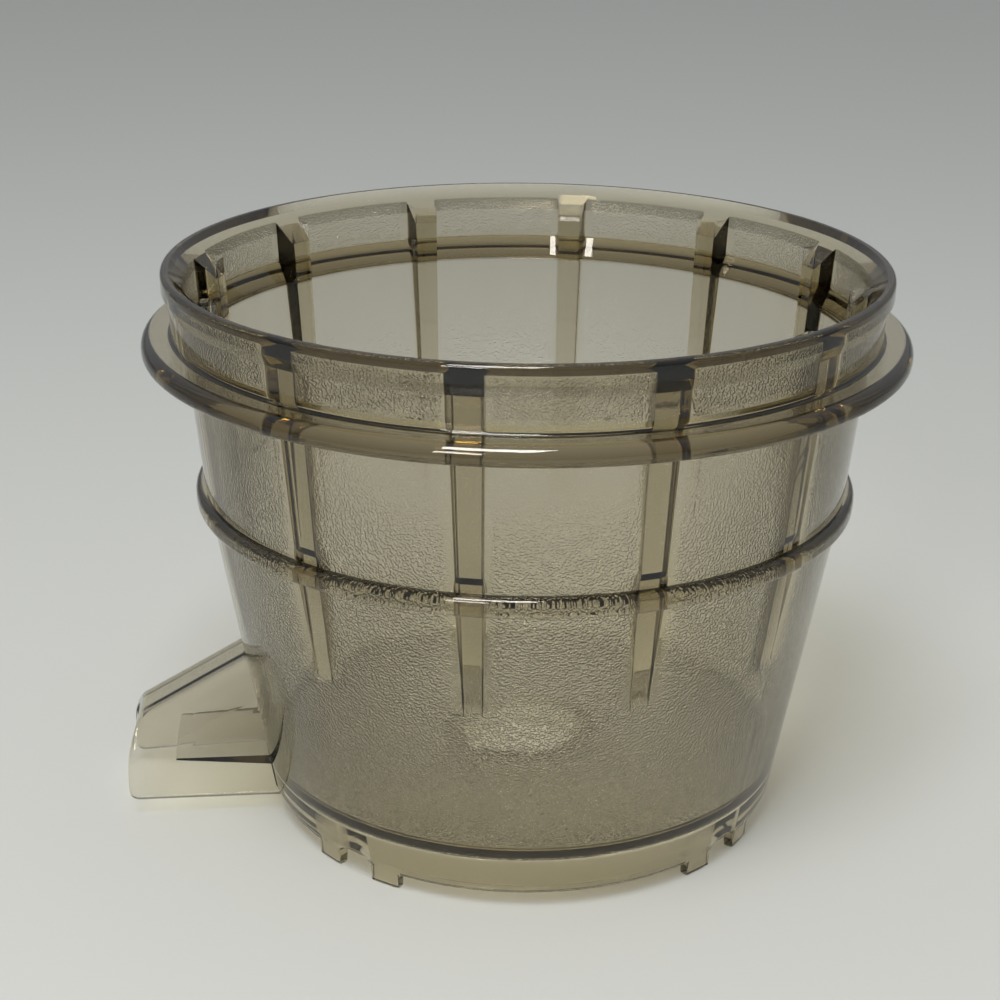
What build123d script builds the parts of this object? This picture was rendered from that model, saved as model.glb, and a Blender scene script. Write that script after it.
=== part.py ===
from build123d import *
from math import cos, radians, tan
import os

# Sorbet strainer of a slow juicer: a tapered cup moulded in one piece, with a collar and flange for
# the lid, inner ribs that hold the frozen fruit against the screw, and a hooded spout at the foot.
# Millimetres. The cup's axis is Z, the lugs stand on Z = 0 and the spout points along -X.

# Heights above the plane that the lugs stand on
overall_height = 98.7
flange_drop = 10.8
bead_level = 59.3
floor_level = 11.2
lug_height = 2.8

# Outside of the cup: radii of base and flange, and how far the rest stands in or out from them
base_radius = 45.5
flange_radius = 65.0
flange_overhang = 7.1
flange_ledge = 5.1
upper_flare = 2.6
collar_lean = 0.35
collar_foot_bevel = 0.8
lip_projection = 1.05

# Walls
body_wall = 2.2
collar_wall = 2.75
floor_thickness = 2.6
skirt_wall = 2.1

# Rim, flange and bead
lip_height = 5.0
lip_flare = 2.0
lip_bevel = 0.7
lead_in_land = 1.4
flange_thickness = 3.3
flange_round = 1.4
flange_bevel = 1.0
bead_projection = 1.6
bead_width = 3.6
bead_bevel = 1.0
inner_ledge_rise = 1.0
inner_ledge_height = 3.5

# Base band: a small step near its lower edge
base_step = 0.6
base_lip_height = 1.5

# Hub that the screw's shaft turns in
hub_bore_radius = 11.0
hub_wall = 2.2
hub_drop = 4.6

# Inner ribs
rib_count = 12
rib_first_angle = 15.0
rib_flat_head = 4.3
rib_flat_end = 2.85
rib_draft = 10.0
rib_head_depth = 3.7
rib_shoulder_depth = 1.8
rib_shoulder_step = 1.2
rib_shoulder_height = 1.4
rib_shoulder_level = 62.8
rib_run_out_depth = 1.5
rib_run_out_level = 49.4
rib_tail_depth = 0.8
rib_tail_level = 44.6
rib_foot_level = 40.4
rib_end_level = 38.1

# Locating lugs under the base, in pairs with an arched notch between the two of a pair
lug_pairs = 4
lug_first_angle = 45.0
lug_spread = 8.2
lug_span = 7.2
lug_wall = 1.7
notch_rise = 1.8

# Spout: an open-ended hood over a short floor
spout_width = 20.6
spout_reach = 71.0
spout_bottom = 3.5
spout_end_height = 11.7
spout_slope = 29.6
spout_wall = 1.6
spout_crown_radius = 4.0
spout_corner_radius = 1.7
chute_reach = 62.5
chute_thickness = 1.8
chute_bevel = 1.2

# Radii, levels and slopes that follow from the sizes above
neck_radius = flange_radius - flange_overhang
bead_seat_radius = neck_radius - upper_flare
collar_foot_radius = flange_radius - flange_ledge
collar_head_radius = collar_foot_radius + collar_lean
lip_radius = collar_head_radius + lip_projection
base_level = lug_height
flange_top = overall_height - flange_drop
flange_bottom = flange_top - flange_thickness
floor_bottom = floor_level - floor_thickness
ledge_head = flange_top + inner_ledge_rise
ledge_foot = ledge_head - inner_ledge_height
lower_taper = (bead_seat_radius - base_radius) / (bead_level - base_level)
upper_taper = (neck_radius - bead_seat_radius) / (flange_bottom - bead_level)
collar_taper = (collar_head_radius - collar_foot_radius) / (overall_height - lip_height - flange_top)


def body_radius(level):
    """Outer radius of the body below the flange."""
    if level < bead_level:
        return base_radius + lower_taper * (level - base_level)
    return bead_seat_radius + upper_taper * (level - bead_level)


def collar_radius(level):
    """Outer radius of the collar above the flange."""
    return collar_foot_radius + collar_taper * (level - flange_top)


def inside_radius(level):
    """Inner radius of the wall between the ribs, above the inner ledge and below it."""
    if level > flange_top:
        return collar_radius(level) - collar_wall
    return body_radius(level) - body_wall


def turned(corners):
    """Solid turned about Z from (radius, level, rounding) corners."""
    points = [(radius, level) for radius, level, rounding in corners]
    roundings = [rounding for radius, level, rounding in corners]
    outline = FilletPolyline(*points, radius=roundings, close=True)
    return revolve(Plane.XZ * make_face(outline), Axis.Z)


def cup():
    """Rim, collar, flange, body, bead, floor, hub and base skirt in one turned profile."""
    lip_start = overall_height - lip_height
    lead_in_radius = lip_radius - lead_in_land
    lead_in_drop = (lead_in_radius - inside_radius(overall_height)) / (1 - collar_taper)
    lead_in_end = overall_height - lead_in_drop
    bead_low = bead_level - bead_width / 2
    bead_high = bead_level + bead_width / 2
    bead_radius = body_radius(bead_high) + bead_projection
    lip_top = base_level + base_lip_height
    step_top = lip_top + base_step
    hub_radius = hub_bore_radius + hub_wall
    hub_bottom = floor_bottom - hub_drop
    outside = [
        (base_radius - base_step, base_level, 0),
        (body_radius(lip_top) - base_step, lip_top, 0),
        (body_radius(step_top), step_top, 0),
        (body_radius(bead_low), bead_low, 0),
        (bead_radius, bead_low + bead_bevel, 0),
        (bead_radius, bead_high - bead_bevel, 0),
        (body_radius(bead_high), bead_high, 0),
        (neck_radius, flange_bottom, 0),
        (flange_radius - flange_bevel, flange_bottom, 0),
        (flange_radius, flange_bottom + flange_bevel, 0),
        (flange_radius, flange_top, flange_round),
        (collar_foot_radius + collar_foot_bevel, flange_top, 0),
        (collar_radius(flange_top + collar_foot_bevel), flange_top + collar_foot_bevel, 0),
        (collar_head_radius, lip_start, 0),
        (lip_radius, lip_start + lip_flare, 0),
        (lip_radius, overall_height - lip_bevel, 0),
        (lip_radius - lip_bevel, overall_height, 0),
    ]
    inside = [
        (lead_in_radius, overall_height, 0),
        (inside_radius(lead_in_end), lead_in_end, 0),
        (inside_radius(ledge_head), ledge_head, 0),
        (inside_radius(ledge_foot), ledge_foot, 0),
        (inside_radius(bead_level), bead_level, 0),
        (inside_radius(floor_level), floor_level, 0),
        (hub_bore_radius, floor_level, 0),
        (hub_bore_radius, hub_bottom, 0),
        (hub_radius, hub_bottom, 0),
        (hub_radius, floor_bottom, 0),
        (body_radius(floor_bottom) - skirt_wall, floor_bottom, 0),
        (base_radius - base_step - skirt_wall, base_level, 0),
    ]
    return turned(outside + inside)


def rib_section(level, face_radius, flat, root_radius):
    """Trapezoid of one rib at a level, from its narrow inner face out into the wall."""
    spread = tan(radians(rib_draft)) * (root_radius - face_radius)
    return Plane.XY.offset(level) * Polygon(
        (face_radius, -flat / 2),
        (root_radius, -flat / 2 - spread),
        (root_radius, flat / 2 + spread),
        (face_radius, flat / 2),
        align=None,
    )


def ribs():
    """Ribs with a lead-in cone at the rim, a shoulder over the bead and a run-out at the foot."""
    head_face = inside_radius(overall_height) - rib_head_depth
    shoulder_foot = rib_shoulder_level - rib_shoulder_height
    upper_face = inside_radius(rib_shoulder_level) - rib_shoulder_depth
    lower_face = inside_radius(shoulder_foot) - rib_shoulder_depth - rib_shoulder_step
    face_taper = (head_face - upper_face) / (overall_height - rib_shoulder_level)
    flat_taper = (rib_flat_head - rib_flat_end) / (overall_height - rib_end_level)

    def upper(level):
        return upper_face + face_taper * (level - rib_shoulder_level)

    stations = [
        (overall_height, head_face, collar_radius(overall_height) - collar_wall / 2),
        (ledge_head, upper(ledge_head), collar_radius(ledge_head) - collar_wall / 2),
        (ledge_foot, upper(ledge_foot), body_radius(ledge_foot) - body_wall / 2),
        (rib_shoulder_level, upper_face, body_radius(rib_shoulder_level) - body_wall / 2),
        (shoulder_foot, lower_face, body_radius(shoulder_foot) - body_wall / 2),
    ]
    run_out = [
        (rib_run_out_level, rib_run_out_depth),
        (rib_tail_level, rib_tail_depth),
        (rib_foot_level, rib_tail_depth),
        (rib_end_level, 0),
    ]
    for level, depth in run_out:
        stations.append((level, inside_radius(level) - depth, body_radius(level) - body_wall / 2))
    sections = [
        rib_section(level, face, rib_flat_end + flat_taper * (level - rib_end_level), root)
        for level, face, root in stations
    ]
    rib = loft(Sketch() + sections, ruled=True)
    lead_in_radius = lip_radius - lead_in_land
    lead_in = Pos(0, 0, overall_height - lead_in_radius) * Cone(
        0, lead_in_radius, lead_in_radius, align=(Align.CENTER, Align.CENTER, Align.MIN)
    )
    return PolarLocations(0, rib_count, start_angle=rib_first_angle) * (rib - lead_in)


def lug_pair():
    """Two lugs: pieces of the skirt's lower edge that reach down to the standing plane."""
    outer = base_radius - base_step - (skirt_wall - lug_wall) / 2
    section = Plane.XZ * Polygon(
        (outer - lug_wall, 0),
        (outer, 0),
        (outer, base_level + base_lip_height),
        (outer - lug_wall, base_level + base_lip_height),
        align=None,
    )
    lug = revolve(section, Axis.Z, lug_span)
    return [Rot(0, 0, side * lug_spread - lug_span / 2) * lug for side in (1, -1)]


def lug_notch():
    """Arched notch in the skirt's lower edge, as wide as the gap between a pair of lugs."""
    gap = radians(2 * lug_spread - lug_span) * base_radius
    arch_radius = (gap**2 / 4 + notch_rise**2) / (2 * notch_rise)
    arch = Rot(0, 90, 0) * Cylinder(arch_radius, 2 * body_wall + 2 * skirt_wall)
    return Pos(base_radius - skirt_wall / 2, 0, base_level + notch_rise - arch_radius) * arch


def around_base(piece):
    """Copies of a piece at each pair of lugs."""
    return PolarLocations(0, lug_pairs, start_angle=lug_first_angle) * piece


def side_prism(points, width):
    """Prism across the spout, from the (reach, level) corners of its side view."""
    side = Polygon(*[(-reach, level) for reach, level in points], align=None)
    return extrude(Plane.XZ * side, width / 2, both=True)


def spout_crown(reach, inset=0.0):
    """Level of the spout's sloping top at a reach, or of its underside at an inset."""
    slope = radians(spout_slope)
    end_top = spout_bottom + spout_end_height
    return end_top + (spout_reach - reach) * tan(slope) - inset / cos(slope)


def crown_edges(prism):
    """The two long edges of a prism's sloping top."""
    return prism.faces().sort_by(Axis.Z)[-1].edges().filter_by(Plane.XZ)


def spout_hood():
    """Outside of the spout, with rounded crown and rounded lower corners at its mouth."""
    root = base_radius / 2
    hood = side_prism(
        [
            (root, spout_bottom),
            (spout_reach, spout_bottom),
            (spout_reach, spout_crown(spout_reach)),
            (root, spout_crown(root)),
        ],
        spout_width,
    )
    mouth_foot = hood.edges().filter_by(Axis.Y).group_by(Axis.Z)[0].sort_by(Axis.X)[0]
    hood = fillet(mouth_foot, spout_corner_radius)
    return fillet(crown_edges(hood), spout_crown_radius)


def spout_inside(foot, reach):
    """Space under the spout's crown and between its sides, from a foot level up and out to a reach."""
    root = base_radius / 2
    space = side_prism(
        [
            (root, foot),
            (reach, foot),
            (reach, spout_crown(reach, spout_wall)),
            (root, spout_crown(root, spout_wall)),
        ],
        spout_width - 2 * spout_wall,
    )
    return fillet(crown_edges(space), spout_crown_radius - spout_wall)


def spout():
    """Hood with open mouth and underside, over a chute floor that carries on the cup's floor."""
    root = base_radius / 2
    chute_bottom = floor_level - chute_thickness
    chute = side_prism(
        [
            (root, chute_bottom),
            (chute_reach - chute_bevel, chute_bottom),
            (chute_reach, floor_level),
            (root, floor_level),
        ],
        spout_width - spout_wall,
    )
    core = turned(
        [
            (0, 0, 0),
            (body_radius(0) - body_wall / 2, 0, 0),
            (body_radius(bead_level) - body_wall / 2, bead_level, 0),
            (0, bead_level, 0),
        ]
    )
    return spout_hood() - spout_inside(0, spout_reach + spout_wall) + chute - core


def sorbet_strainer():
    """The whole moulding as one solid, with the duct opened through the wall into the spout."""
    moulding = cup() - around_base(lug_notch())
    moulding += ribs()
    for lug in lug_pair():
        moulding += around_base(lug)
    moulding += spout()
    return moulding - spout_inside(floor_level, chute_reach - chute_bevel)


os.makedirs("parts", exist_ok=True)
export_step(sorbet_strainer(), "parts/sorbet_strainer.step")
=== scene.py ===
"""Sorbet strainer of a slow juicer: one see-through smoky moulding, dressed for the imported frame."""

from math import atan2, cos, hypot, pi, radians, sin, sqrt, tan

import bmesh
import bpy
from bpy.props import FloatProperty, FloatVectorProperty, IntProperty, PointerProperty
from mathutils import Matrix, Vector


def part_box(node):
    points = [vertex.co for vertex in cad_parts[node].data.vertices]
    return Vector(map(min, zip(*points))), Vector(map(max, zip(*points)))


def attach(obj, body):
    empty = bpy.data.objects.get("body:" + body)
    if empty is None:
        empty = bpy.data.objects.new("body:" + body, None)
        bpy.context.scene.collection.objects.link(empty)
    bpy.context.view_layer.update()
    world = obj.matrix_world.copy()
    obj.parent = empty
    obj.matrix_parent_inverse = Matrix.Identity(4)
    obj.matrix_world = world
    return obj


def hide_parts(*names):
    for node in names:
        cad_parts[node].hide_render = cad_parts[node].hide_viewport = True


bl_info = {
    "name": "Sorbet strainer",
    "version": (1, 0, 0),
    "blender": (4, 5, 0),
    "location": "View3D > Sidebar > Strainer",
    "description": "Models a see-through sorbet strainer and a plain stage for it",
    "category": "Add Mesh",
}

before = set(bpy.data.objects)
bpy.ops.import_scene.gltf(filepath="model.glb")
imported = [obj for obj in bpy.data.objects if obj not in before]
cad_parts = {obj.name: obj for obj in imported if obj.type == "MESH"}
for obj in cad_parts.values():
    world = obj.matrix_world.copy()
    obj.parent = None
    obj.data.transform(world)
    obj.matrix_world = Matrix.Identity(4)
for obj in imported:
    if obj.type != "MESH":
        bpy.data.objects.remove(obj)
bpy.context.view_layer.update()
node_low, node_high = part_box("sorbet_strainer")
MM = 0.001
# Points closer than MERGE are joined, places closer than TOUCH count as one, and selections reach
# MARGIN further.
MERGE = MM / 1000
TOUCH = MM / 100
MARGIN = MM / 10
# Steps of the roundings on the spout and at the foot, and the turn in each step of the profile's.
CROWN_STEPS = 14
INNER_CROWN_STEPS = 12
CORNER_STEPS = 5
EDGE_STEPS = 3
FOOT_STEPS = 2
PROFILE_STEP = radians(16)


def length(name, description, millimetres):
    """A size of the object, written in millimetres and kept in metres."""
    return FloatProperty(
        name=name,
        description=description,
        default=millimetres * MM,
        precision=5,
        subtype="DISTANCE",
        unit="LENGTH",
    )


def angle(name, description, degrees):
    """An angle, written in degrees and kept in radians."""
    return FloatProperty(
        name=name,
        description=description,
        default=radians(degrees),
        subtype="ANGLE",
        unit="ROTATION",
    )


def position(name, description, metres):
    """A place in the scene."""
    return FloatVectorProperty(
        name=name, description=description, default=metres, size=3, subtype="TRANSLATION", unit="LENGTH"
    )


def number(name, description, default, low=0.0, high=1000.0):
    """A plain number such as a strength or a roughness."""
    return FloatProperty(name=name, description=description, default=default, min=low, max=high)


def colour(name, description, default):
    """A linear colour."""
    return FloatVectorProperty(
        name=name, description=description, default=default, size=3, min=0.0, max=1.0, subtype="COLOR"
    )


class StrainerCup(bpy.types.PropertyGroup):
    """Turned part of the moulding: rim, collar, flange, body, bead, floor, hub and base."""

    height: length("Height", "From the feet of the lugs to the rim", node_high[2] / MM)
    flange_radius: length("Flange radius", "Outer radius of the flange", node_high[1] / MM)
    flange_overhang: length("Flange overhang", "How far the flange stands out from the body", 7.1)
    flange_ledge: length("Flange ledge", "Width of the flange outside the collar", 5.1)
    flange_drop: length("Flange drop", "From the rim down to the flange", 10.8)
    flange_thickness: length("Flange thickness", "Thickness of the flange", 3.3)
    flange_round: length("Flange rounding", "Rounding of the flange's upper edge", 2.0)
    flange_foot_round: length("Flange foot rounding", "Rounding of the flange's lower edge", 0.9)
    collar_lean: length("Collar lean", "How much the collar widens towards the lip", 0.35)
    collar_wall: length("Collar wall", "Thickness of the collar", 2.75)
    lip_projection: length("Lip projection", "How far the lip stands out from the collar", 1.05)
    lip_height: length("Lip height", "Height of the lip at the rim", 5.0)
    lip_flare: length("Lip flare", "Height over which the lip widens", 2.0)
    lip_round: length("Lip rounding", "Rounding of the rim's outer edge", 0.8)
    lead_in_land: length("Rim land", "Width of the rim outside its lead-in cone", 1.4)
    ledge_rise: length("Inner ledge rise", "Height of the inner ledge's upper edge above the flange", 1.0)
    ledge_height: length("Inner ledge", "Height of the sloping ledge inside the collar's foot", 3.5)
    upper_flare: length("Upper flare", "How much the body widens from bead to flange", 2.6)
    body_wall: length("Body wall", "Thickness of the body", 2.2)
    bead_level: length("Bead level", "Height of the bead's middle", 59.3)
    bead_width: length("Bead width", "Height of the bead", 3.6)
    bead_projection: length("Bead projection", "How far the bead stands out from the body", 1.6)
    bead_round: length("Bead rounding", "Rounding of the bead", 1.3)
    base_radius: length("Base radius", "Outer radius of the body at the base", 45.5)
    base_level: length("Base level", "Height of the skirt's lower edge", 2.8)
    base_step: length("Base step", "Depth of the step in the base band", 0.6)
    base_lip: length("Base lip", "Height of the lip below the step", 1.5)
    skirt_wall: length("Skirt wall", "Thickness of the skirt below the floor", 2.1)
    floor_level: length("Floor level", "Height of the cup's floor", 11.2)
    floor_thickness: length("Floor thickness", "Thickness of the floor", 1.4)
    floor_round: length("Floor rounding", "Rounding between floor and wall", 1.4)
    hub_bore: length("Hub bore", "Radius of the bore in the hub", 11.0)
    hub_wall: length("Hub wall", "Thickness of the hub", 2.2)
    hub_drop: length("Hub drop", "How far the hub reaches below the floor", 4.6)
    corner_round: length("Corner rounding", "Rounding of inner corners", 0.7)
    edge_round: length("Edge rounding", "Rounding of outer edges", 0.4)


class StrainerRibs(bpy.types.PropertyGroup):
    """Ribs inside the cup."""

    count: IntProperty(name="Ribs", description="Number of ribs round the cup", default=12, min=3)
    first_angle: angle("First rib", "Angle of the first rib from the X axis", 15.0)
    flat_head: length("Head width", "Width of a rib's face at the rim", 4.3)
    flat_end: length("End width", "Width of a rib's face at its lower end", 2.85)
    draft: angle("Draft", "Slope of a rib's flanks", 10.0)
    head_depth: length("Head depth", "How far a rib stands in at the rim", 3.7)
    shoulder_depth: length("Shoulder depth", "How far a rib stands in above its shoulder", 1.8)
    shoulder_step: length("Shoulder step", "How much further a rib stands in below its shoulder", 1.2)
    shoulder_height: length("Shoulder height", "Height of the sloping shoulder", 1.4)
    shoulder_level: length("Shoulder level", "Height of the shoulder's upper edge", 62.8)
    run_out_depth: length("Run-out depth", "How far a rib stands in where its run-out starts", 1.5)
    run_out_level: length("Run-out level", "Height at which the run-out starts", 49.4)
    tail_depth: length("Tail depth", "How far a rib's tail stands in", 0.8)
    tail_level: length("Tail level", "Height at which the tail starts", 44.6)
    foot_level: length("Foot level", "Height at which the tail's sloping end starts", 40.4)
    end_level: length("End level", "Height at which a rib ends", 38.1)
    edge_round: length("Edge rounding", "Rounding of a rib's edges", 0.35)
    root_round: length("Root rounding", "Rounding between a rib and the wall", 0.5)
    panel_recess: length("Panel recess", "How far the panels between the ribs lie back", 0.4)
    panel_margin: length("Panel margin", "Clear margin above and below the panels", 0.6)
    panel_side: angle("Panel side", "Angle from the middle of a rib to the panel beside it", 3.9)


class StrainerLugs(bpy.types.PropertyGroup):
    """Locating lugs under the base, in pairs with an arched notch between the two of a pair."""

    pairs: IntProperty(name="Pairs", description="Number of pairs round the base", default=4, min=1)
    first_angle: angle("First pair", "Angle of the first pair from the X axis", 45.0)
    inner_angle: angle("Inner side", "Angle of a lug's inner side from the pair's middle", 4.6)
    outer_angle: angle("Outer side", "Angle of a lug's outer side from the pair's middle", 11.8)
    thinning: length("Thinning", "How much each side of a lug stands in from the skirt", 0.2)
    notch_rise: length("Notch rise", "Height of the arched notch", 1.8)
    edge_round: length("Edge rounding", "Rounding of the lugs and the skirt's lower edge", 0.3)


class StrainerSpout(bpy.types.PropertyGroup):
    """Hooded spout at the foot of the cup."""

    reach: length("Reach", "From the cup's axis to the spout's mouth", -node_low[0] / MM)
    width: length("Width", "Outer width of the spout", 20.6)
    bottom: length("Bottom", "Height of the spout's lower edge", 3.5)
    end_height: length("End height", "Height of the mouth", 13.2)
    slope: angle("Slope", "Slope of the spout's top", 29.6)
    wall: length("Wall", "Thickness of the spout's walls", 1.6)
    crown_round: length("Crown rounding", "Rounding along the spout's top edges", 8.0)
    corner_round: length("Corner rounding", "Rounding of the mouth's lower corners", 1.7)
    edge_round: length("Edge rounding", "Rounding of the mouth's edges", 0.6)
    chute_reach: length("Chute reach", "From the cup's axis to the end of the chute floor", 62.5)
    chute_thickness: length("Chute thickness", "Thickness of the chute floor where it leaves the cup", 1.8)
    chute_tip: length("Chute tip", "Thickness of the chute floor at its end", 0.35)
    mouth_straight: length("Straight mouth", "Height up to which the mouth is upright", 6.4)
    mouth_lean: length("Mouth lean", "How far the mouth's top lies back", 2.4)


class StrainerPlastic(bpy.types.PropertyGroup):
    """Smoky see-through plastic."""

    absorption: colour("Smoke colour", "Colour that the plastic lets through", (0.5, 0.4, 0.09))
    density: number("Smoke density", "Absorption per metre of plastic", 228.0)
    ior: number("Index of refraction", "How strongly the plastic bends light", 1.55, 1.0, 2.5)
    polish: number("Polished roughness", "Roughness of rim, ribs, bead and spout", 0.03, 0.0, 1.0)
    eroded: number("Panel roughness", "Roughness of the eroded panels between the ribs", 0.1, 0.0, 1.0)
    grain_size: length("Grain size", "Size of the panels' fine grain", 0.36)
    grain_height: length("Grain height", "Height of the panels' fine grain", 0.08)
    shade: colour("Shade colour", "Share of lamp light that one surface lets through", (0.9, 0.92, 0.94))


class StrainerStage(bpy.types.PropertyGroup):
    """Floor, backdrop, lamps and camera."""

    floor_half: length("Floor half", "Half the width of the floor", 1800)
    floor_back: length("Floor back", "From the cup's axis back to the backdrop", 1700)
    backdrop_height: length("Backdrop height", "Height of the backdrop", 300)
    backdrop_bend: length("Backdrop bend", "How far the bend from floor to backdrop reaches", 250)
    floor_colour: colour("Floor colour", "Colour of the floor and backdrop", (0.53, 0.541, 0.523))
    world_colour: colour("World colour", "Colour of the light all round", (0.97, 0.985, 1.0))
    horizon_strength: number("Horizon strength", "Strength of the light from the sides", 0.3)
    zenith_strength: number("Zenith strength", "Strength of the light from overhead", 0.62)
    top_place: position("Top place", "Where the broad lamp overhead in front hangs", (-0.12, -0.35, 0.75))
    top_size: length("Top size", "Side of the broad lamp", 280)
    top_power: number("Top power", "Power of the broad lamp, in watts", 4.5)
    top_tint: colour("Top tint", "Colour of the broad lamp", (1.0, 0.985, 0.96))
    key_place: position("Key place", "Where the lamp in front on the left hangs", (-0.35, -0.75, 0.5))
    key_size: length("Key size", "Side of the lamp on the left", 200)
    key_power: number("Key power", "Power of the lamp on the left, in watts", 2.0)
    key_tint: colour("Key tint", "Colour of the lamp on the left", (1.0, 0.96, 0.88))
    camera_place: position("Camera place", "Where the camera stands", (-0.0360, -0.32044, 0.17984))
    camera_heading: angle("Camera heading", "Turn of the camera from +Y towards +X", 5.652)
    camera_pitch: angle("Camera pitch", "How far the camera looks down", 21.177)
    camera_roll: angle("Camera roll", "Roll of the camera", 0.512)
    camera_lens: number("Camera lens", "Focal length on a 36 mm sensor, in millimetres", 70.46)


def body_radius(cup, level):
    """Outer radius of the body below the flange."""
    neck = cup.flange_radius - cup.flange_overhang
    seat = neck - cup.upper_flare
    if level < cup.bead_level:
        rise = (level - cup.base_level) / (cup.bead_level - cup.base_level)
        return cup.base_radius + (seat - cup.base_radius) * rise
    flange_bottom = cup.height - cup.flange_drop - cup.flange_thickness
    rise = (level - cup.bead_level) / (flange_bottom - cup.bead_level)
    return seat + (neck - seat) * rise


def collar_radius(cup, level):
    """Outer radius of the collar above the flange."""
    foot = cup.height - cup.flange_drop
    rise = (level - foot) / (cup.height - cup.lip_height - foot)
    return cup.flange_radius - cup.flange_ledge + cup.collar_lean * rise


def inside_radius(cup, level):
    """Inner radius of the wall between the ribs."""
    if level > cup.height - cup.flange_drop:
        return collar_radius(cup, level) - cup.collar_wall
    return body_radius(cup, level) - cup.body_wall


def lead_in_radius(cup):
    """Radius of the lead-in cone where it meets the rim."""
    lip = cup.flange_radius - cup.flange_ledge + cup.collar_lean + cup.lip_projection
    return lip - cup.lead_in_land


def lead_in_level(cup, radius):
    """Level of the 45 degree lead-in cone at a radius."""
    return cup.height - lead_in_radius(cup) + radius


def lead_in_end(cup):
    """Level at which the lead-in cone meets the collar's inner wall."""
    top = inside_radius(cup, cup.height)
    lean = cup.collar_lean / (cup.flange_drop - cup.lip_height)
    return cup.height - (lead_in_radius(cup) - top) / (1 - lean)


def outside_corners(cup):
    """Outer half of the turned profile from the base up, as (radius, level, rounding)."""
    flange_top = cup.height - cup.flange_drop
    flange_bottom = flange_top - cup.flange_thickness
    neck = cup.flange_radius - cup.flange_overhang
    collar_foot = cup.flange_radius - cup.flange_ledge
    collar_head = collar_foot + cup.collar_lean
    lip = collar_head + cup.lip_projection
    lip_start = cup.height - cup.lip_height
    bead_low = cup.bead_level - cup.bead_width / 2
    bead_high = cup.bead_level + cup.bead_width / 2
    bead_radius = body_radius(cup, bead_high) + cup.bead_projection
    lip_top = cup.base_level + cup.base_lip
    step_top = lip_top + cup.base_step
    return [
        (cup.base_radius - cup.base_step, cup.base_level, 0),
        (body_radius(cup, lip_top) - cup.base_step, lip_top, 0),
        (body_radius(cup, step_top), step_top, cup.edge_round),
        (body_radius(cup, bead_low), bead_low, cup.edge_round),
        (bead_radius, bead_low, cup.bead_round),
        (bead_radius, bead_high, cup.bead_round),
        (body_radius(cup, bead_high), bead_high, 0),
        (neck, flange_bottom, cup.corner_round),
        (cup.flange_radius, flange_bottom, cup.flange_foot_round),
        (cup.flange_radius, flange_top, cup.flange_round),
        (collar_foot, flange_top, cup.corner_round),
        (collar_head, lip_start, cup.edge_round),
        (lip, lip_start + cup.lip_flare, cup.edge_round),
        (lip, cup.height, cup.lip_round),
    ]


def inside_corners(cup, ribs):
    """Inner half of the turned profile from the rim down, with a corner at each level of the ribs."""
    ledge_head = cup.height - cup.flange_drop + cup.ledge_rise
    ledge_foot = ledge_head - cup.ledge_height
    floor_bottom = cup.floor_level - cup.floor_thickness
    hub_bottom = floor_bottom - cup.hub_drop
    hub_radius = cup.hub_bore + cup.hub_wall
    cone_end = lead_in_end(cup)
    rib_levels = (
        ribs.shoulder_level,
        ribs.shoulder_level - ribs.shoulder_height,
        cup.bead_level,
        ribs.run_out_level,
        ribs.tail_level,
        ribs.foot_level,
        ribs.end_level,
    )
    panel_head = cone_end - ribs.panel_margin
    panel_foot = ledge_head + 2 * ribs.panel_margin
    return [
        (lead_in_radius(cup), cup.height, cup.edge_round / 2),
        (inside_radius(cup, cone_end), cone_end, 0),
        (inside_radius(cup, panel_head), panel_head, 0),
        (inside_radius(cup, panel_foot), panel_foot, 0),
        (inside_radius(cup, ledge_head), ledge_head, cup.edge_round),
        (inside_radius(cup, ledge_foot), ledge_foot, cup.edge_round),
        *[(inside_radius(cup, level), level, 0) for level in rib_levels],
        (inside_radius(cup, cup.floor_level), cup.floor_level, cup.floor_round),
        (cup.hub_bore, cup.floor_level, cup.edge_round),
        (cup.hub_bore, hub_bottom, cup.edge_round),
        (hub_radius, hub_bottom, cup.edge_round),
        (hub_radius, floor_bottom, cup.corner_round),
        (body_radius(cup, floor_bottom) - cup.skirt_wall, floor_bottom, cup.corner_round),
        (cup.base_radius - cup.base_step - cup.skirt_wall, cup.base_level, 0),
    ]


def profile_wire(bm, corners):
    """Closed wire through the corners in the XZ plane, each rounded by its own radius."""
    verts = [bm.verts.new((radius, 0, level)) for radius, level, rounding in corners]
    for vert, following in zip(verts, verts[1:] + verts[:1]):
        bm.edges.new((vert, following))
    turns = []
    for index, vert in enumerate(verts):
        arriving = (vert.co - verts[index - 1].co).normalized()
        leaving = (verts[(index + 1) % len(verts)].co - vert.co).normalized()
        turns.append(arriving.angle(leaving))
    for vert, turn, (radius, level, rounding) in zip(verts, turns, corners):
        if rounding:
            bmesh.ops.bevel(
                bm,
                geom=[vert],
                offset=rounding * tan(turn / 2),
                offset_type="OFFSET",
                segments=max(2, round(turn / PROFILE_STEP)),
                profile=0.5,
                affect="VERTICES",
                material=-1,
            )


def sweep_columns(bm, turns):
    """Spins the profile wire through one column after another."""
    edge = bm.edges[:]
    for here, following in zip(turns, turns[1:]):
        swept = bmesh.ops.spin(
            bm,
            geom=edge,
            cent=(0, 0, 0),
            axis=(0, 0, 1),
            angle=following - here,
            steps=1,
            use_merge=False,
            use_duplicate=False,
        )
        edge = swept["geom_last"]


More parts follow.
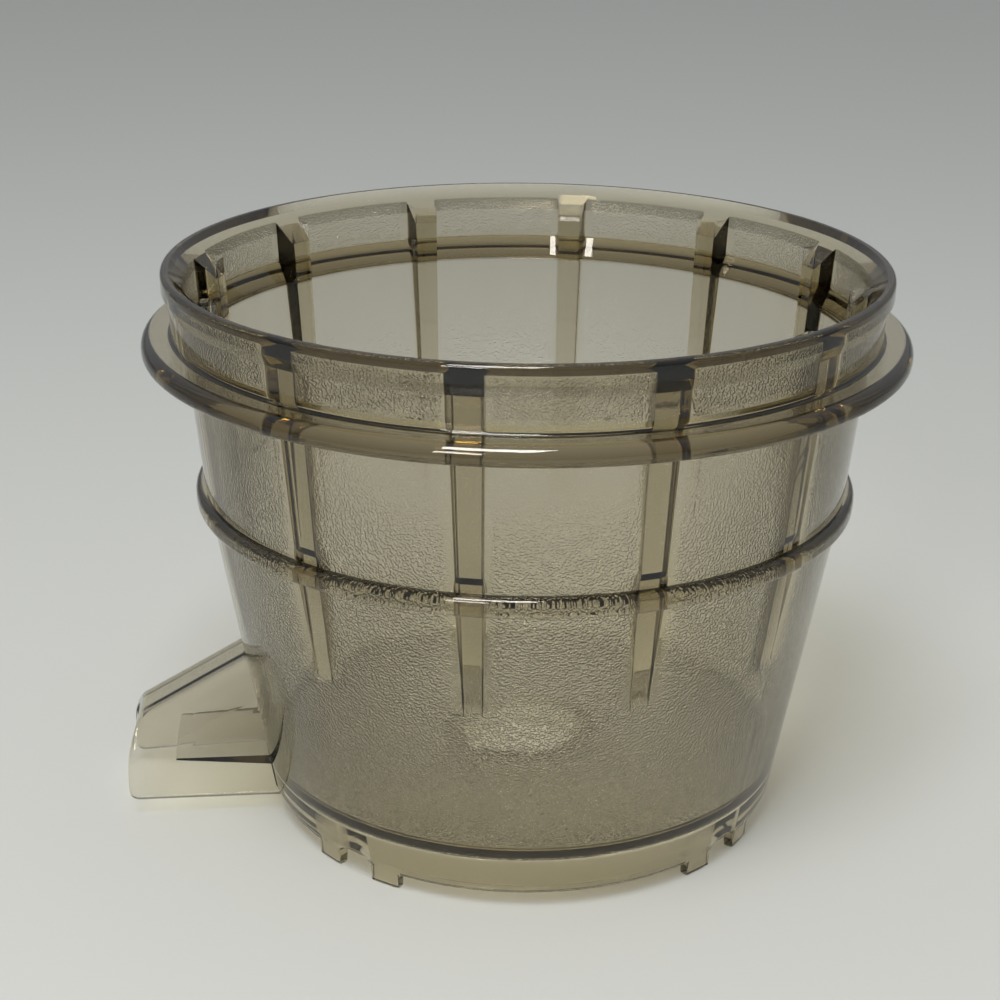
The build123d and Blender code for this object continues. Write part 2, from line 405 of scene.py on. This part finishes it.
def rib_face(cup, ribs, level):
    """Radius of a rib's inner face at a level, or None below its end."""
    head = inside_radius(cup, cup.height) - ribs.head_depth
    shoulder_foot = ribs.shoulder_level - ribs.shoulder_height
    upper = inside_radius(cup, ribs.shoulder_level) - ribs.shoulder_depth
    lower = inside_radius(cup, shoulder_foot) - ribs.shoulder_depth - ribs.shoulder_step
    stations = [
        (ribs.end_level, inside_radius(cup, ribs.end_level)),
        (ribs.foot_level, inside_radius(cup, ribs.foot_level) - ribs.tail_depth),
        (ribs.tail_level, inside_radius(cup, ribs.tail_level) - ribs.tail_depth),
        (ribs.run_out_level, inside_radius(cup, ribs.run_out_level) - ribs.run_out_depth),
        (shoulder_foot, lower),
        (ribs.shoulder_level, upper),
        (cup.height, head),
    ]
    for (low, low_face), (high, high_face) in zip(stations, stations[1:]):
        if low <= level <= high:
            return low_face + (high_face - low_face) * (level - low) / (high - low)
    return None


def blend_corner(corner, towards_start, towards_end, rounding):
    """Start, middle and end of a rounding at a corner between two directions."""
    start = corner + towards_start * rounding
    end = corner + towards_end * rounding
    return [start, (start + end) / 4 + corner / 2, end]


def rib_section(ribs, cup, level, depth):
    """Half section of a rib as (across, depth) points, from the middle of its face out to the wall."""
    share = (level - ribs.end_level) / (cup.height - ribs.end_level)
    half = (ribs.flat_end + (ribs.flat_head - ribs.flat_end) * share) / 2
    least = max(depth, ribs.edge_round)
    flank = Vector((sin(ribs.draft), -cos(ribs.draft)))
    face_corner = Vector((half, least))
    root_corner = Vector((half + least * tan(ribs.draft), 0))
    edge = blend_corner(face_corner, Vector((-1, 0)), flank, min(ribs.edge_round, least * 0.4))
    root = blend_corner(root_corner, -flank, Vector((1, 0)), min(ribs.root_round, least * 0.4))
    points = [Vector((0, least)), *edge, (edge[2] + root[0]) / 2, *root]
    return [(point.x, point.y * depth / least) for point in points]


def raise_rib(bm, cup, ribs, turns):
    """Draws the inner wall's first columns in to the half section of a rib."""
    columns = len(rib_section(ribs, cup, cup.height, ribs.head_depth))
    cone_end = lead_in_end(cup)
    for vert in bm.verts:
        radius = hypot(vert.co.x, vert.co.y)
        level = vert.co.z
        column = min(range(len(turns)), key=lambda index: abs(turns[index] - atan2(vert.co.y, vert.co.x)))
        if column >= columns or level < ribs.end_level - TOUCH or level > cone_end + TOUCH:
            continue
        if radius > inside_radius(cup, level) + cup.collar_wall / 2:
            continue
        depth = max(0.0, radius - rib_face(cup, ribs, max(level, ribs.end_level)))
        across, drop = rib_section(ribs, cup, level, depth)[column]
        vert.co.x = sqrt(radius**2 - across**2) - drop
        vert.co.y = across
        if level > cone_end - TOUCH:
            vert.co.z = lead_in_level(cup, radius - drop)


def ring_of_sectors(bm, ribs):
    """Mirrors the half sector and repeats it round the axis, then closes the seams."""
    bmesh.ops.mirror(bm, geom=bm.verts[:] + bm.edges[:] + bm.faces[:], axis="Y", merge_dist=MERGE)
    bmesh.ops.rotate(bm, verts=bm.verts[:], cent=(0, 0, 0), matrix=Matrix.Rotation(ribs.first_angle, 3, "Z"))
    bmesh.ops.spin(
        bm,
        geom=bm.verts[:] + bm.edges[:] + bm.faces[:],
        cent=(0, 0, 0),
        axis=(0, 0, 1),
        angle=2 * pi * (ribs.count - 1) / ribs.count,
        steps=ribs.count - 1,
        use_merge=False,
        use_duplicate=True,
    )
    bmesh.ops.remove_doubles(bm, verts=bm.verts[:], dist=TOUCH)
    bmesh.ops.recalc_face_normals(bm, faces=bm.faces[:])


def pair_angle(lugs, place):
    """Angle of a place from the middle of the nearest pair of lugs."""
    pitch = 2 * pi / lugs.pairs
    turned = (atan2(place.y, place.x) - lugs.first_angle) % pitch
    return min(turned, pitch - turned)


def cut_notches(bm, cup, lugs):
    """Raises the skirt's lower edge in an arch between the two lugs of each pair."""
    half_gap = cup.base_radius * lugs.inner_angle
    arch_radius = (half_gap**2 + lugs.notch_rise**2) / (2 * lugs.notch_rise)
    crowding = 0.25 * MM
    rows = (
        (cup.base_level, 0),
        (cup.base_level + cup.base_lip, 1),
        (cup.base_level + cup.base_lip + cup.base_step, 2),
    )
    for vert in bm.verts:
        turned = pair_angle(lugs, vert.co)
        reach = hypot(vert.co.x, vert.co.y)
        if turned >= lugs.inner_angle or reach < cup.base_radius - 2 * cup.skirt_wall:
            continue
        across = cup.base_radius * turned
        arch = cup.base_level + lugs.notch_rise - arch_radius + sqrt(arch_radius**2 - across**2)
        for level, row in rows:
            if abs(vert.co.z - level) < cup.edge_round:
                vert.co.z = max(vert.co.z, arch + row * crowding)
                break


def round_edges(bm, edges, rounding, segments):
    """Rounds edges by a radius."""
    bmesh.ops.bevel(
        bm,
        geom=edges,
        offset=rounding,
        offset_type="OFFSET",
        segments=segments,
        profile=0.5,
        affect="EDGES",
        clamp_overlap=True,
        material=-1,
    )


def at_foot(cup, lugs, place):
    """Whether a place lies on a lug, in a notch or on the skirt's lower edge."""
    in_notch = pair_angle(lugs, place) < lugs.inner_angle + radians(0.2)
    return place.z < cup.base_level + in_notch * lugs.notch_rise + MARGIN


def draw_lugs(bm, cup, lugs):
    """Extrudes pieces of the skirt's lower edge down to the standing plane and rounds their edges."""
    slack = radians(0.2)
    crease = radians(50)
    feet = [
        face
        for face in bm.faces
        if face.normal.z < -0.9
        and abs(face.calc_center_median().z - cup.base_level) < TOUCH
        and lugs.inner_angle - slack < pair_angle(lugs, face.calc_center_median()) < lugs.outer_angle + slack
    ]
    drawn = bmesh.ops.extrude_face_region(bm, geom=feet)
    lug_verts = [item for item in drawn["geom"] if isinstance(item, bmesh.types.BMVert)]
    bmesh.ops.delete(bm, geom=feet, context="FACES")
    middle = cup.base_radius - cup.base_step - cup.skirt_wall / 2
    for vert in lug_verts:
        outward = Vector((vert.co.x, vert.co.y, 0))
        side = -1 if outward.length > middle else 1
        vert.co += outward.normalized() * side * lugs.thinning
        vert.co.z = 0
    bmesh.ops.recalc_face_normals(bm, faces=bm.faces[:])
    lower_edges = [
        edge
        for edge in bm.edges
        if edge.is_manifold
        and edge.calc_face_angle() > crease
        and min(hypot(vert.co.x, vert.co.y) for vert in edge.verts) > cup.base_radius - 2 * cup.skirt_wall
        and at_foot(cup, lugs, (edge.verts[0].co + edge.verts[1].co) / 2)
    ]
    round_edges(bm, lower_edges, lugs.edge_round, FOOT_STEPS)


def turned_cup(cup, ribs, lugs):
    """Mesh of the cup with its ribs and the notches in its skirt."""
    rib_turns = [radians(turn) for turn in (0, 1.0, 1.7, 2.1, 2.6, 3.1, 3.6, 4.1)]
    lug_span = lugs.outer_angle - lugs.inner_angle
    lug_turns = [lugs.inner_angle + lug_span * share for share in (0, 0.25, 0.5, 0.75, 1)]
    edge_turn = pi / ribs.count
    turns = [*rib_turns, *lug_turns, (lugs.outer_angle + edge_turn) / 2, edge_turn]
    bm = bmesh.new()
    profile_wire(bm, outside_corners(cup) + inside_corners(cup, ribs))
    sweep_columns(bm, turns)
    bmesh.ops.remove_doubles(bm, verts=bm.verts[:], dist=MERGE)
    raise_rib(bm, cup, ribs, turns)
    ring_of_sectors(bm, ribs)
    cut_notches(bm, cup, lugs)
    mesh = bpy.data.meshes.new("strainer_cup")
    bm.to_mesh(mesh)
    bm.free()
    return mesh


def spout_crown(spout, reach, inset=0.0):
    """Level of the spout's sloping top at a reach, or of its underside at an inset."""
    end_top = spout.bottom + spout.end_height
    return end_top + (spout.reach - reach) * tan(spout.slope) - inset / cos(spout.slope)


def side_prism(points, width):
    """Prism across the spout from the (reach, level) corners of its side view."""
    bm = bmesh.new()
    verts = [bm.verts.new((-reach, -width / 2, level)) for reach, level in points]
    side = bm.faces.new(verts)
    drawn = bmesh.ops.extrude_face_region(bm, geom=[side])
    far_verts = [item for item in drawn["geom"] if isinstance(item, bmesh.types.BMVert)]
    bmesh.ops.translate(bm, vec=(0, width, 0), verts=far_verts)
    bmesh.ops.recalc_face_normals(bm, faces=bm.faces[:])
    return bm


def crown_edges(bm):
    """The two long edges of a prism's sloping top."""
    return [
        edge
        for edge in bm.edges
        if abs(edge.verts[0].co.y - edge.verts[1].co.y) < TOUCH
        and min(face.normal.z for face in edge.link_faces) > -0.1
        and max(face.normal.z for face in edge.link_faces) > 0.5
    ]


def finished(bm, name):
    """Object with the mesh of a bmesh."""
    mesh = bpy.data.meshes.new(name)
    bm.to_mesh(mesh)
    bm.free()
    return bpy.data.objects.new(name, mesh)


def spout_space(cup, spout, wall, foot, reach):
    """Space under the spout's crown and between its sides, within a wall of a given thickness."""
    root = cup.base_radius / 2
    bm = side_prism(
        [
            (root, foot),
            (reach, foot),
            (reach, spout_crown(spout, reach, wall)),
            (root, spout_crown(spout, root, wall)),
        ],
        spout.width - 2 * wall,
    )
    round_edges(bm, crown_edges(bm), spout.crown_round - wall, INNER_CROWN_STEPS)
    return finished(bm, "spout_space")


def spout_hood(cup, spout):
    """Outside of the spout."""
    root = cup.base_radius / 2
    bm = side_prism(
        [
            (root, spout.bottom),
            (spout.reach, spout.bottom),
            (spout.reach, spout_crown(spout, spout.reach)),
            (root, spout_crown(spout, root)),
        ],
        spout.width,
    )
    mouth_foot = [
        edge
        for edge in bm.edges
        if all(vert.co.x < MM - spout.reach and vert.co.z < spout.bottom + MM for vert in edge.verts)
    ]
    round_edges(bm, mouth_foot, spout.corner_round, CORNER_STEPS)
    round_edges(bm, crown_edges(bm), spout.crown_round, CROWN_STEPS)
    return finished(bm, "spout_hood")


def spout_chute(cup, spout):
    """Short tapering floor under the hood that carries on the cup's floor."""
    root = cup.base_radius / 2
    bottom = cup.floor_level - spout.chute_thickness
    bm = side_prism(
        [
            (root, bottom),
            (cup.base_radius, bottom),
            (spout.chute_reach, cup.floor_level - spout.chute_tip),
            (spout.chute_reach, cup.floor_level),
            (root, cup.floor_level),
        ],
        spout.width - spout.wall,
    )
    return finished(bm, "spout_chute")


def wall_core(cup):
    """Cone through the middle of the body's wall, which keeps the spout out of the cup."""
    bm = bmesh.new()
    middle = cup.body_wall / 2
    bmesh.ops.create_cone(
        bm,
        cap_ends=True,
        segments=256,
        radius1=body_radius(cup, 0) - middle,
        radius2=body_radius(cup, cup.bead_level) - middle,
        depth=cup.bead_level,
        matrix=Matrix.Translation((0, 0, cup.bead_level / 2)),
    )
    return finished(bm, "wall_core")


def combine(base, tool, operation):
    """Joins or cuts two closed meshes and keeps the result in the first."""
    for item in (base, tool):
        bpy.context.scene.collection.objects.link(item)
    cut = base.modifiers.new("combine", "BOOLEAN")
    cut.operation = operation
    cut.solver = "EXACT"
    cut.object = tool
    result = bpy.data.meshes.new_from_object(base.evaluated_get(bpy.context.evaluated_depsgraph_get()))
    base.modifiers.clear()
    base.data = result
    bpy.context.scene.collection.objects.unlink(base)
    bpy.data.objects.remove(tool)


def lean_mouth(bm, spout):
    """Slides the upper part of the mouth back along the crown's slope, further towards its top."""
    for vert in bm.verts:
        if vert.co.x > 2 * spout.edge_round - spout.reach:
            continue
        rise = (vert.co.z - spout.bottom - spout.mouth_straight) / (spout.end_height - spout.mouth_straight)
        slide = spout.mouth_lean * max(0.0, rise) ** 2
        vert.co += slide * Vector((1, 0, tan(spout.slope)))


def spout_shell(cup, spout):
    """Hood, open below and at its mouth, with its chute floor and rounded mouth edges."""
    crease = radians(40)
    shell = spout_hood(cup, spout)
    combine(shell, spout_space(cup, spout, spout.wall, -MM, spout.reach + spout.wall), "DIFFERENCE")
    bm = bmesh.new()
    bm.from_mesh(shell.data)
    mouth_edges = [
        edge
        for edge in bm.edges
        if edge.is_manifold
        and edge.calc_face_angle() > crease
        and (
            all(vert.co.x < spout.corner_round / 2 - spout.reach for vert in edge.verts)
            or all(vert.co.z < spout.bottom + spout.corner_round for vert in edge.verts)
        )
        and max(vert.co.x for vert in edge.verts) < MM - cup.base_radius / 2
    ]
    round_edges(bm, mouth_edges, spout.edge_round, EDGE_STEPS)
    bm.to_mesh(shell.data)
    bm.free()
    combine(shell, spout_chute(cup, spout), "UNION")
    combine(shell, wall_core(cup), "DIFFERENCE")
    return shell


def set_panels(bm, cup, ribs):
    """Sets back the eroded panels of the inner wall between the ribs and marks them for the finish."""
    panel = bm.verts.layers.float.new("panel_grain")
    pitch = 2 * pi / ribs.count
    ledge_head = cup.height - cup.flange_drop + cup.ledge_rise
    spans = (
        (cup.floor_level + cup.floor_round, ledge_head - cup.ledge_height - MARGIN),
        (ledge_head + ribs.panel_margin, lead_in_end(cup) - MARGIN),
    )
    for vert in bm.verts:
        radius = hypot(vert.co.x, vert.co.y)
        on_wall = abs(radius - inside_radius(cup, vert.co.z)) < 2 * MARGIN
        turned = (atan2(vert.co.y, vert.co.x) - ribs.first_angle) % pitch
        beside_rib = min(turned, pitch - turned) > ribs.panel_side or vert.co.z < ribs.end_level + MARGIN
        within = any(low < vert.co.z < high for low, high in spans)
        on_floor = (
            cup.floor_level - cup.floor_thickness - MARGIN < vert.co.z < cup.floor_level + MARGIN
            and radius < inside_radius(cup, cup.floor_level) - MARGIN
        )
        vert[panel] = float(on_floor or on_wall and beside_rib and within)
    for vert in bm.verts:
        if vert[panel] and cup.floor_level + MM < vert.co.z < ledge_head:
            vert.co += Vector((vert.co.x, vert.co.y, 0)).normalized() * ribs.panel_recess


def joined_moulding(cup, ribs, lugs, spout):
    """Cup and spout in one mesh, with the duct between them, the lugs, the leaning mouth and the panels."""
    moulding = bpy.data.objects.new("strainer_moulding", turned_cup(cup, ribs, lugs))
    combine(moulding, spout_shell(cup, spout), "UNION")
    duct_wall = spout.wall + MARGIN
    duct = spout_space(cup, spout, duct_wall, cup.floor_level + MARGIN, body_radius(cup, cup.bead_level))
    combine(moulding, duct, "DIFFERENCE")
    bm = bmesh.new()
    bm.from_mesh(moulding.data)
    bmesh.ops.remove_doubles(bm, verts=bm.verts[:], dist=MERGE)
    draw_lugs(bm, cup, lugs)
    lean_mouth(bm, spout)
    set_panels(bm, cup, ribs)
    for face in bm.faces:
        face.smooth = True
    bm.to_mesh(moulding.data)
    bm.free()
    return moulding


def panel_grain_group():
    """Node group: mask, roughness and height of the fine grain on the eroded panels."""
    group = bpy.data.node_groups.new("panel_grain", "ShaderNodeTree")
    for name, default in (("Polished", 0.03), ("Eroded", 0.14), ("Scale", 1000.0)):
        socket = group.interface.new_socket(name=name, in_out="INPUT", socket_type="NodeSocketFloat")
        socket.default_value = default
    group.interface.new_socket(name="Roughness", in_out="OUTPUT", socket_type="NodeSocketFloat")
    group.interface.new_socket(name="Height", in_out="OUTPUT", socket_type="NodeSocketFloat")
    nodes, links = group.nodes, group.links
    inputs = nodes.new("NodeGroupInput")
    outputs = nodes.new("NodeGroupOutput")
    mask = nodes.new("ShaderNodeAttribute")
    mask.attribute_name = "panel_grain"
    place = nodes.new("ShaderNodeTexCoord")
    grain = nodes.new("ShaderNodeTexNoise")
    grain.inputs["Detail"].default_value = 0.0
    relief = nodes.new("ShaderNodeMapRange")
    relief.interpolation_type = "SMOOTHSTEP"
    relief.inputs["From Min"].default_value = 0.35
    relief.inputs["From Max"].default_value = 0.65
    spread = nodes.new("ShaderNodeMapRange")
    height = nodes.new("ShaderNodeMath")
    height.operation = "MULTIPLY"
    links.new(place.outputs["Object"], grain.inputs["Vector"])
    links.new(inputs.outputs["Scale"], grain.inputs["Scale"])
    links.new(mask.outputs["Fac"], spread.inputs["Value"])
    links.new(inputs.outputs["Polished"], spread.inputs["To Min"])
    links.new(inputs.outputs["Eroded"], spread.inputs["To Max"])
    links.new(grain.outputs["Fac"], relief.inputs["Value"])
    links.new(relief.outputs["Result"], height.inputs[0])
    links.new(mask.outputs["Fac"], height.inputs[1])
    links.new(spread.outputs["Result"], outputs.inputs["Roughness"])
    links.new(height.outputs["Value"], outputs.inputs["Height"])
    return group


def smoke_plastic(plastic):
    """Smoky see-through plastic: polished, with finely eroded panels, tinted by its thickness."""
    material = bpy.data.materials.new("smoke_plastic")
    material.use_nodes = True
    nodes, links = material.node_tree.nodes, material.node_tree.links
    nodes.clear()
    output = nodes.new("ShaderNodeOutputMaterial")
    surface = nodes.new("ShaderNodeBsdfPrincipled")
    surface.inputs["Base Color"].default_value = (1, 1, 1, 1)
    surface.inputs["Transmission Weight"].default_value = 1.0
    surface.inputs["IOR"].default_value = plastic.ior
    grain = nodes.new("ShaderNodeGroup")
    grain.node_tree = panel_grain_group()
    grain.inputs["Polished"].default_value = plastic.polish
    grain.inputs["Eroded"].default_value = plastic.eroded
    grain.inputs["Scale"].default_value = 1 / plastic.grain_size
    bump = nodes.new("ShaderNodeBump")
    bump.inputs["Distance"].default_value = plastic.grain_height
    smoke = nodes.new("ShaderNodeVolumeAbsorption")
    smoke.inputs["Color"].default_value = (*plastic.absorption, 1)
    smoke.inputs["Density"].default_value = plastic.density
    clear = nodes.new("ShaderNodeBsdfTransparent")
    clear.inputs["Color"].default_value = (*plastic.shade, 1)
    path = nodes.new("ShaderNodeLightPath")
    mix = nodes.new("ShaderNodeMixShader")
    links.new(grain.outputs["Roughness"], surface.inputs["Roughness"])
    links.new(grain.outputs["Height"], bump.inputs["Height"])
    links.new(bump.outputs["Normal"], surface.inputs["Normal"])
    links.new(path.outputs["Is Shadow Ray"], mix.inputs["Fac"])
    links.new(surface.outputs["BSDF"], mix.inputs[1])
    links.new(clear.outputs["BSDF"], mix.inputs[2])
    links.new(mix.outputs["Shader"], output.inputs["Surface"])
    links.new(smoke.outputs["Volume"], output.inputs["Volume"])
    return material


class STRAINER_OT_moulding(bpy.types.Operator):
    """Model the strainer as one see-through moulding"""

    bl_idname = "strainer.moulding"
    bl_label = "Mould strainer"
    bl_options = {"REGISTER", "UNDO"}

    def execute(self, context):
        scene = context.scene
        cup, ribs = scene.strainer_cup, scene.strainer_ribs
        lugs, spout = scene.strainer_lugs, scene.strainer_spout
        moulding = joined_moulding(cup, ribs, lugs, spout)
        crease = radians(38)
        moulding.data.set_sharp_from_angle(angle=crease)
        even = moulding.modifiers.new("even_shading", "WEIGHTED_NORMAL")
        even.keep_sharp = True
        moulding.data.materials.clear()
        moulding.data.materials.append(smoke_plastic(scene.strainer_plastic))
        scene.collection.objects.link(moulding)
        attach(moulding, "root")
        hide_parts("sorbet_strainer")
        return {"FINISHED"}


def stage_surface(stage):
    """Matt pale surface of the floor and backdrop."""
    material = bpy.data.materials.new("stage_pale")
    material.use_nodes = True
    surface = material.node_tree.nodes["Principled BSDF"]
    surface.inputs["Base Color"].default_value = (*stage.floor_colour, 1)
    surface.inputs["Roughness"].default_value = 0.9
    surface.inputs["Specular IOR Level"].default_value = 0.1
    return material


def stage_sweep(stage):
    """Floor that curves up into a backdrop behind the object."""
    bm = bmesh.new()
    half, back = stage.floor_half, stage.floor_back
    corners = [(-half, 0), (back, 0), (back, stage.backdrop_height)]
    verts = [bm.verts.new((-half, reach, level)) for reach, level in corners]
    for pair in zip(verts, verts[1:]):
        bm.edges.new(pair)
    bmesh.ops.bevel(
        bm,
        geom=[verts[1]],
        offset=stage.backdrop_bend,
        offset_type="OFFSET",
        segments=16,
        profile=0.5,
        affect="VERTICES",
        material=-1,
    )
    drawn = bmesh.ops.extrude_edge_only(bm, edges=bm.edges[:])
    far_verts = [item for item in drawn["geom"] if isinstance(item, bmesh.types.BMVert)]
    bmesh.ops.translate(bm, vec=(2 * half, 0, 0), verts=far_verts)
    bmesh.ops.recalc_face_normals(bm, faces=bm.faces[:])
    for face in bm.faces:
        face.smooth = True
    sweep = finished(bm, "stage_sweep")
    sweep.data.materials.append(stage_surface(stage))
    return sweep


def soft_lamp(name, place, target, size, power, tint):
    """Square soft lamp that faces a target."""
    lamp = bpy.data.lights.new(name, "AREA")
    lamp.shape = "SQUARE"
    lamp.size = size
    lamp.energy = power
    lamp.color = tint
    lamp_object = bpy.data.objects.new(name, lamp)
    aim = Vector(target) - Vector(place)
    lamp_object.matrix_world = Matrix.Translation(place) @ aim.to_track_quat("-Z", "Y").to_matrix().to_4x4()
    bpy.context.scene.collection.objects.link(lamp_object)


def stage_camera(stage):
    """Camera at the photograph's viewing angle."""
    camera = bpy.data.cameras.new("camera")
    camera.lens = stage.camera_lens
    camera.sensor_width = 36.0
    camera.clip_start = 0.01
    camera_object = bpy.data.objects.new("camera", camera)
    camera_object.matrix_world = (
        Matrix.Translation(stage.camera_place)
        @ Matrix.Rotation(-stage.camera_heading, 4, "Z")
        @ Matrix.Rotation(pi / 2 - stage.camera_pitch, 4, "X")
        @ Matrix.Rotation(stage.camera_roll, 4, "Z")
    )
    bpy.context.scene.collection.objects.link(camera_object)
    bpy.context.scene.camera = camera_object


def studio_light(stage):
    """World whose light grows from the horizon to the zenith."""
    world = bpy.data.worlds.new("studio")
    world.use_nodes = True
    nodes, links = world.node_tree.nodes, world.node_tree.links
    sky = nodes["Background"]
    sky.inputs["Color"].default_value = (*stage.world_colour, 1)
    place = nodes.new("ShaderNodeTexCoord")
    split = nodes.new("ShaderNodeSeparateXYZ")
    rise = nodes.new("ShaderNodeMapRange")
    rise.inputs["To Min"].default_value = stage.horizon_strength
    rise.inputs["To Max"].default_value = stage.zenith_strength
    links.new(place.outputs["Generated"], split.inputs["Vector"])
    links.new(split.outputs["Z"], rise.inputs["Value"])
    links.new(rise.outputs["Result"], sky.inputs["Strength"])
    return world


class STRAINER_OT_stage(bpy.types.Operator):
    """Set up the floor, backdrop, lamps and camera"""

    bl_idname = "strainer.stage"
    bl_label = "Set stage"
    bl_options = {"REGISTER", "UNDO"}

    def execute(self, context):
        scene = context.scene
        stage = scene.strainer_stage
        sweep = stage_sweep(stage)
        scene.collection.objects.link(sweep)
        middle = (0, 0, scene.strainer_cup.height / 2)
        soft_lamp("top_lamp", stage.top_place, middle, stage.top_size, stage.top_power, stage.top_tint)
        soft_lamp("key_lamp", stage.key_place, middle, stage.key_size, stage.key_power, stage.key_tint)
        scene.world = studio_light(stage)
        scene.view_settings.view_transform = "Standard"
        scene.cycles.max_bounces = 8
        scene.cycles.diffuse_bounces = 1
        scene.cycles.caustics_reflective = False
        scene.cycles.use_light_tree = False
        stage_camera(stage)
        return {"FINISHED"}


class STRAINER_PT_panel(bpy.types.Panel):
    """Sizes, finish and stage of the strainer"""

    bl_idname = "STRAINER_PT_panel"
    bl_label = "Sorbet strainer"
    bl_space_type = "VIEW_3D"
    bl_region_type = "UI"
    bl_category = "Strainer"

    def draw(self, context):
        layout = self.layout
        layout.use_property_split = True
        for title, name in GROUPS.items():
            box = layout.box()
            box.label(text=title)
            settings = getattr(context.scene, name)
            for setting in settings.__annotations__:
                box.prop(settings, setting)
        layout.operator(STRAINER_OT_moulding.bl_idname)
        layout.operator(STRAINER_OT_stage.bl_idname)


GROUPS = {
    "Cup": "strainer_cup",
    "Ribs": "strainer_ribs",
    "Lugs": "strainer_lugs",
    "Spout": "strainer_spout",
    "Plastic": "strainer_plastic",
    "Stage": "strainer_stage",
}
SETTINGS = (StrainerCup, StrainerRibs, StrainerLugs, StrainerSpout, StrainerPlastic, StrainerStage)
CLASSES = (*SETTINGS, STRAINER_OT_moulding, STRAINER_OT_stage, STRAINER_PT_panel)


def register():
    """Registers the classes and puts their settings on the scene."""
    for cls in CLASSES:
        bpy.utils.register_class(cls)
    for name, cls in zip(GROUPS.values(), SETTINGS):
        setattr(bpy.types.Scene, name, PointerProperty(type=cls))


def unregister():
    """Takes the settings off the scene and unregisters the classes."""
    for name in GROUPS.values():
        delattr(bpy.types.Scene, name)
    for cls in reversed(CLASSES):
        bpy.utils.unregister_class(cls)


def main():
    """Builds the strainer and its stage."""
    register()
    bpy.ops.strainer.moulding()
    bpy.ops.strainer.stage()


if __name__ == "__main__":
    main()
